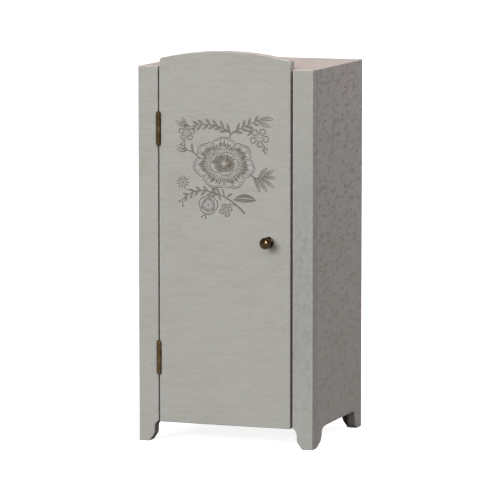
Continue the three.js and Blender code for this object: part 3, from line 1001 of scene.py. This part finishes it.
def big_petal(centre, middle, half, inner, outer, squash):
    rim = petal_rim(centre, middle, half, inner, outer, squash)
    draw(rim, 0.42, 0.5, 0.04)
    fold = petal_rim(centre, middle, half * 0.84, inner, inner + (outer - inner) * 0.84, squash)
    draw(fold[2:-2], 0.26, 0.4, 0.03)
    wash.append(petal_rim(centre, middle, half * 0.93, inner * 1.04, outer * 0.96, squash))
    strokes = 16
    for step in range(strokes):
        share = (step + 0.5) / strokes
        angle = middle + half * 0.86 * (2 * share - 1)
        swell = math.sin(math.pi * share) ** 0.5
        reach = inner + (outer - inner) * swell * hand.uniform(0.48, 0.86)
        first = polar(inner * hand.uniform(1.00, 1.06), angle, squash)
        last = polar(reach, angle + hand.uniform(-2, 2), squash)
        hatch(centre, first, last, 0.50)


def bloom(centre, radius, squash):
    """The large flower: seven outer petals, a pale ring of dashes, and a folded heart."""
    for index in range(7):
        middle = 90 + index * 360 / 7
        big_petal(centre, middle, 29, radius * 0.60, radius, squash)
    for index in range(9):
        middle = 70 + index * 40
        draw(petal_rim(centre, middle, 21, radius * 0.49, radius * 0.60, squash, 2), 0.36, 0.5, 0.03)
        for offset in (-9, 2, 11):
            end = radius * hand.uniform(0.54, 0.585)
            spoke(centre, middle + offset, radius * 0.50, end, 0.55, 0.6, 0.03, squash)
    heart = radius * 0.48
    squash *= 0.95
    for ring, petals in ((1.0, 5), (0.72, 4), (0.42, 3)):
        for index in range(petals):
            middle = 25 + 40 * ring + index * 360 / petals
            rim = petal_rim(centre, middle, 205 / petals, heart * ring * 0.62, heart * ring, squash, 1, 0.0)
            draw(rim, 0.34, 0.5, 0.03)
    strokes = 46
    for step in range(strokes):
        angle = step * 360 / strokes
        first = polar(heart * hand.uniform(0.10, 0.35), angle, squash)
        last = polar(heart * hand.uniform(0.70, 0.97), angle + math.degrees(0.25), squash)
        hatch(centre, first, last, 0.42, 1.04)


def blossom(centre, radius, petals=5, start=90):
    """A small round flower: outlined petals, veins and a dotted eye."""
    for index in range(petals):
        middle = start + index * 360 / petals
        draw(plain_petal(centre, middle, 150 / petals, radius * 0.36, radius, 12), 0.46, 0.6, 0.03)
        wash.append(plain_petal(centre, middle, 130 / petals, radius * 0.4, radius * 0.9, 12))
        for offset in (-17, 0, 17):
            spoke(centre, middle + offset, radius * 0.34, radius * hand.uniform(0.66, 0.82), 0.62)
    eye(centre, radius * 0.22)


def eye(centre, radius, dots=6):
    for index in range(dots):
        spot = centre + polar(radius, 360 * index / dots)
        draw([spot - 0.2, spot + 0.2], 0.46, 0.7, 0.02)
    draw([centre - 0.24, centre + 0.24], 0.5, 0.7, 0.02)


def daisy(centre, radius, rays=11):
    for index in range(rays):
        way = polar(radius, 360 * index / rays)
        draw([centre + way * reach for reach in (0.32, 0.7, 1)], 0.52)
    eye(centre, radius * 0.16)


def bud(base, tip, width):
    """A closed bud: a cup of three petals on a dark calyx."""
    along = tip - base
    aside = along * 1j / abs(along)
    for way in (1, -1):
        draw(bow(base, base + along * 0.45 + aside * way * width, tip + aside * way * width * 0.28), 0.42)
        draw(bow(base, base + along * 0.5 + aside * way * width * 0.3, tip - along * 0.1), 0.34)
        draw(bow(base, base + along * 0.15 + aside * way * width * 0.5, base + along * 0.38), 0.56)
    wash.append(bow(base, base + along * 0.5 + aside * width * 0.9, tip) +
                bow(tip, base + along * 0.5 - aside * width * 0.9, base)[1:-1])


def rosebud(centre, radius):
    """A half-open rose: arcs wrapped about a dark heart."""
    for reach, spread, start in ((radius, 75, 20), (radius * 0.66, 80, 80)):
        for turn in (start, start + 120, start + 240):
            draw(plain_petal(centre, turn, spread, reach * 0.55, reach, 14), 0.44, 0.5, 0.03)
            for offset in range(-48, 49, 16):
                spoke(centre, turn + offset, reach * 0.56, reach * hand.uniform(0.74, 0.92), 0.64)
    wash.append(plain_petal(centre, 90, 179, radius * 0.93, radius * 0.95, 20))
    for angle in range(0, 360, 45):
        spoke(centre, angle, 0, radius * 0.3, 0.34)


def berries(base, ends):
    for end in ends:
        draw(bow(base, (base + end) / 2 + 0.3j, end), 0.32)
        draw([end - 0.4, end, end + 0.4], 0.9, 0.7, 0.05)


def flowers():
    """The whole print: a bloom with two sprays above it, two below it, a bud and a twig at its sides."""
    bloom(1.0 + 1.0j, 16.6, 0.80)
    fork = 5.0 + 16.6j
    fall(bow(3.6 + 13.8j, 4.0 + 15.2j, fork, 5), 0.55, 0.5)
    left = bow(fork, -4 + 23.4j, -17.5 + 19.6j, 18)
    fall(left, 0.60, 0.34)
    sprig(left, 6, 4.6, 1.35)
    blossom(-19.5 + 16.4j, 4.3)
    for tip in (-25.6 + 22.4j, -22.2 + 24.4j):
        open_leaf(-19.0 + 19.5j, tip, 1.7)
    berries(-20.5 + 12.6j, (-22.4 + 10.4j, -20.6 + 10.0j))
    right = bow(fork, 12 + 21j, 20.5 + 24.2j, 14)
    fall(right, 0.58, 0.32)
    sprig(right, 4, 4.4, 1.3)
    open_leaf(right[-1], 28.0 + 24.6j, 1.9)
    open_leaf(right[-2], 26.6 + 20.8j, 1.8, -0.1)
    fall(bow(right[7], 15 + 19.8j, 18.2 + 18.6j, 6), 0.46, 0.36)
    blossom(20.4 + 15.0j, 5.0, 5, 60)
    for tip in (13.6 + 15.6j, 12.2 + 18.6j):
        filled_leaf(16.4 + 18.6j, tip, 1.2)
    berries(23.0 + 10.6j, (22.4 + 8.4j, 24.6 + 9.0j, 23.5 + 7.2j))
    stalk = bow(-12.6 + 3.4j, -15.5 + 6.8j, -19.2 + 7.4j, 8)
    fall(stalk, 0.52, 0.40)
    bud(stalk[-1], -25.2 + 8.8j, 2.8)
    filled_leaf(stalk[4], -16.6 + 11.2j, 1.2)
    twig = bow(15.6 - 4.6j, 19.0 - 7.0j, 22.8 - 5.6j, 8)
    fall(twig, 0.58, 0.44)
    above = ((5, 24.6 - 0.4j), (7, 28.4 - 1.6j), (8, 29.6 - 5.8j))
    below = ((6, 28.6 - 11.0j), (4, 24.4 - 13.0j), (2, 20.4 - 13.2j))
    for start, tip in above + below:
        open_leaf(twig[start], tip, 1.5)
    branch = bow(12.4 - 24.6j, 4.5 - 15.8j, -8.0 - 13.6j, 18)
    branch += bow(branch[-1], -16 - 12.4j, -21.8 - 18.4j, 12)[1:]
    fall(branch, 0.70, 0.36)
    sprig(branch[11:], 6, 3.9, 1.25)
    daisy(-21.6 - 9.4j, 3.6)
    fall(bow(branch[23], -19.4 - 13.6j, -20.6 - 12.4j, 4), 0.46, 0.36)
    berries(branch[-1], (-23.6 - 19.6j, -21.6 - 21.8j))
    rosebud(-7.6 - 20.8j, 5.2)
    berries(-9.4 - 25.8j, (-11.2 - 27.2j, -9.0 - 27.6j))
    blossom(2.0 - 23.2j, 3.4, 4, 20)
    fall(bow(branch[4], 4.4 - 19.4j, 3.0 - 20.6j, 4), 0.46, 0.36)
    filled_leaf(6.4 - 17.6j, 18.4 - 17.6j, 4.2, 0.16)
    draw(bow(0.2 - 11.8j, 0.4 - 13.4j, 1.4 - 16.4j, 5), 0.55)
    for base, tip in ((-2.6 - 14.6j, -0.8 - 18.2j), (-5.4 - 13.8j, -2.2 - 11.4j), (2.6 - 16.6j, 5.8 - 14.4j)):
        filled_leaf(base, tip, 1.15)


def ribbon(mesh, points, widths, height):
    """A closed strip of ink: flat on top, its underside just below the paint."""
    rings = []
    for index, (point, width) in enumerate(zip(points, widths)):
        ahead = points[min(index + 1, len(points) - 1)] - points[max(index - 1, 0)]
        aside = ahead * 1j / max(abs(ahead), 1e-6) * width / 2
        section = [(aside, -height), (-aside, -height), (-aside, INK_SINK), (aside, INK_SINK)]
        spots = [(PRINT_CENTRE + point + across, depth) for across, depth in section]
        rings.append([mesh.verts.new((spot.real, FRONT + depth, spot.imag)) for spot, depth in spots])
    for ring, following in zip(rings, rings[1:]):
        for side in range(4):
            mesh.faces.new((ring[side - 1], ring[side], following[side], following[side - 1]))
    for end in (rings[0], rings[-1]):
        mesh.faces.new(end)


def print_piece(name, mesh, material):
    piece = new_object(name, mesh)
    piece.data.materials.append(material)
    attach(piece, "door")


def door_print():
    flowers()
    mesh = bmesh.new()
    for index, (points, widths) in enumerate(ink):
        ribbon(mesh, points, [STROKE * width for width in widths], INK_LOW + index * INK_STEP)
    print_piece("flower_print", mesh, printed_ink())
    mesh = bmesh.new()
    for index, rim in enumerate(wash):
        height = INK_LOW * (0.3 + 0.6 * index / len(wash))
        spots = [PRINT_CENTRE + point for point in rim]
        outline = [(spot.real, spot.imag) for spot in spots]
        patch = prism(outline, place_front, FRONT - height, FRONT + INK_SINK)
        part = bpy.data.meshes.new("patch")
        patch.to_mesh(part)
        patch.free()
        mesh.from_mesh(part)
        bpy.data.meshes.remove(part)
    print_piece("flower_wash", mesh, printed_wash())


# ---- building ----

stile("left_stile", -1)
stile("right_stile", 1)
side_board("left_side", -1)
side_board("right_side", 1)
back_panel()
shelf("top_panel")
shelf("bottom_panel")
hanging_rail()
catch_magnet()
catch_strike()
door()
knob()
knob_screw()
hinges()
door_print()


# ---- floor, light and camera ----

FLOOR_RADIUS = 11000


def floor():
    """A wide pale floor: bright to the camera, dim in the brass, and dark in the light it throws back."""
    mesh = bmesh.new()
    bmesh.ops.create_circle(mesh, cap_ends=True, segments=96, radius=FLOOR_RADIUS)
    made = new_object("floor", mesh)
    finish = Finish("floor", specular=0.0)
    finish.colour(tone(0.85, 0.85, 0.85))
    grain = finish.noise(0.02, 0.02, 0.02)
    finish.roughness(grain, 0.85, 0.95)
    glow = finish.node("ShaderNodeEmission", {"Strength": 0.85})
    bright = finish.node("ShaderNodeAddShader", {0: finish.shader.outputs[0], 1: glow.outputs[0]})
    dim = finish.node("ShaderNodeBsdfDiffuse", {"Color": tone(0.075, 0.073, 0.072)})
    ray = finish.node("ShaderNodeLightPath").outputs
    seen = finish.math("MAXIMUM", ray["Is Camera Ray"], finish.times(ray["Is Glossy Ray"], 0.25))
    choice = finish.node("ShaderNodeMixShader", {0: seen, 1: dim.outputs[0], 2: bright.outputs[0]})
    finish.put(finish.tree.nodes["Material Output"].inputs["Surface"], choice.outputs[0])
    made.data.materials.append(finish.material)


def surroundings():
    """A white backdrop that lights the object less brightly than it looks, and is dim in the brass."""
    world = bpy.data.worlds.new("studio")
    bpy.context.scene.world = world
    world.use_nodes = True
    graph = Graph(world.node_tree)
    seen = graph.tree.nodes["Background"]
    seen.inputs["Color"].default_value = tone(1.0, 1.0, 1.0)
    shown = graph.node("ShaderNodeBackground", {"Color": tone(1.0, 0.945, 0.90), "Strength": 0.75})
    mirrored = graph.node("ShaderNodeBackground", {"Strength": 0.2})
    ray = graph.node("ShaderNodeLightPath").outputs
    for kind, other in (("Is Glossy Ray", mirrored), ("Is Camera Ray", seen)):
        given = {0: ray[kind], 1: shown.outputs[0], 2: other.outputs[0]}
        shown = graph.node("ShaderNodeMixShader", given)
    graph.put(graph.tree.nodes["World Output"].inputs["Surface"], shown.outputs[0])


def softbox(name, direction, distance, size, strength, colour, glints=False):
    """A light facing the object, for its surfaces or for glints only. Distance and size are in metres.

    Strength is the white radiance that it gives a surface facing it."""
    data = bpy.data.lights.new(name, "AREA")
    data.shape = "RECTANGLE"
    data.size, data.size_y = size
    data.color = colour
    data.energy = strength * math.pi ** 2 * distance ** 2
    made = linked(name, data)
    way = Vector(direction).normalized()
    made.location = CAD_MIDDLE + way * distance
    made.rotation_euler = way.to_track_quat("Z", "Y").to_euler()
    made.visible_glossy = glints
    made.visible_diffuse = not glints


def camera(azimuth, elevation, distance, lens, offset):
    """Looks at the middle of the model's box, moved by the offset, from azimuth and elevation."""
    data = bpy.data.cameras.new("camera")
    data.lens = lens
    data.sensor_width = 36
    data.clip_start, data.clip_end = 0.1, 30
    made = linked("camera", data)
    turn, rise = math.radians(azimuth), math.radians(elevation)
    back = Vector((math.sin(turn) * math.cos(rise), -math.cos(turn) * math.cos(rise), math.sin(rise)))
    made.location = CAD_MIDDLE + Vector(offset) * MM + back * distance
    made.rotation_euler = back.to_track_quat("Z", "Y").to_euler()
    bpy.context.scene.camera = made


floor()
surroundings()
softbox("key", (-0.38, -1.0, 0.42), 2.5, (1.2, 1.2), 0.635, (0.98, 1.0, 0.975))
softbox("overhead", (0.0, 0.1, 1.0), 1.0, (0.6, 0.6), 0.36, (1.0, 0.62, 0.59))
softbox("side_fill", (0.8, 0.3, 0.6), 0.35, (0.2, 0.2), 0.112, (1.0, 0.89, 0.99))
softbox("knob_spark", (0.42, -1.0, 0.50), 1.3, (0.45, 0.80), 1.25, (1.0, 0.93, 0.74), glints=True)
camera(azimuth=19.58, elevation=7.035, distance=2.103, lens=287, offset=(-0.8, 4.0, -5.0))
bpy.context.scene.view_settings.view_transform = "Standard"
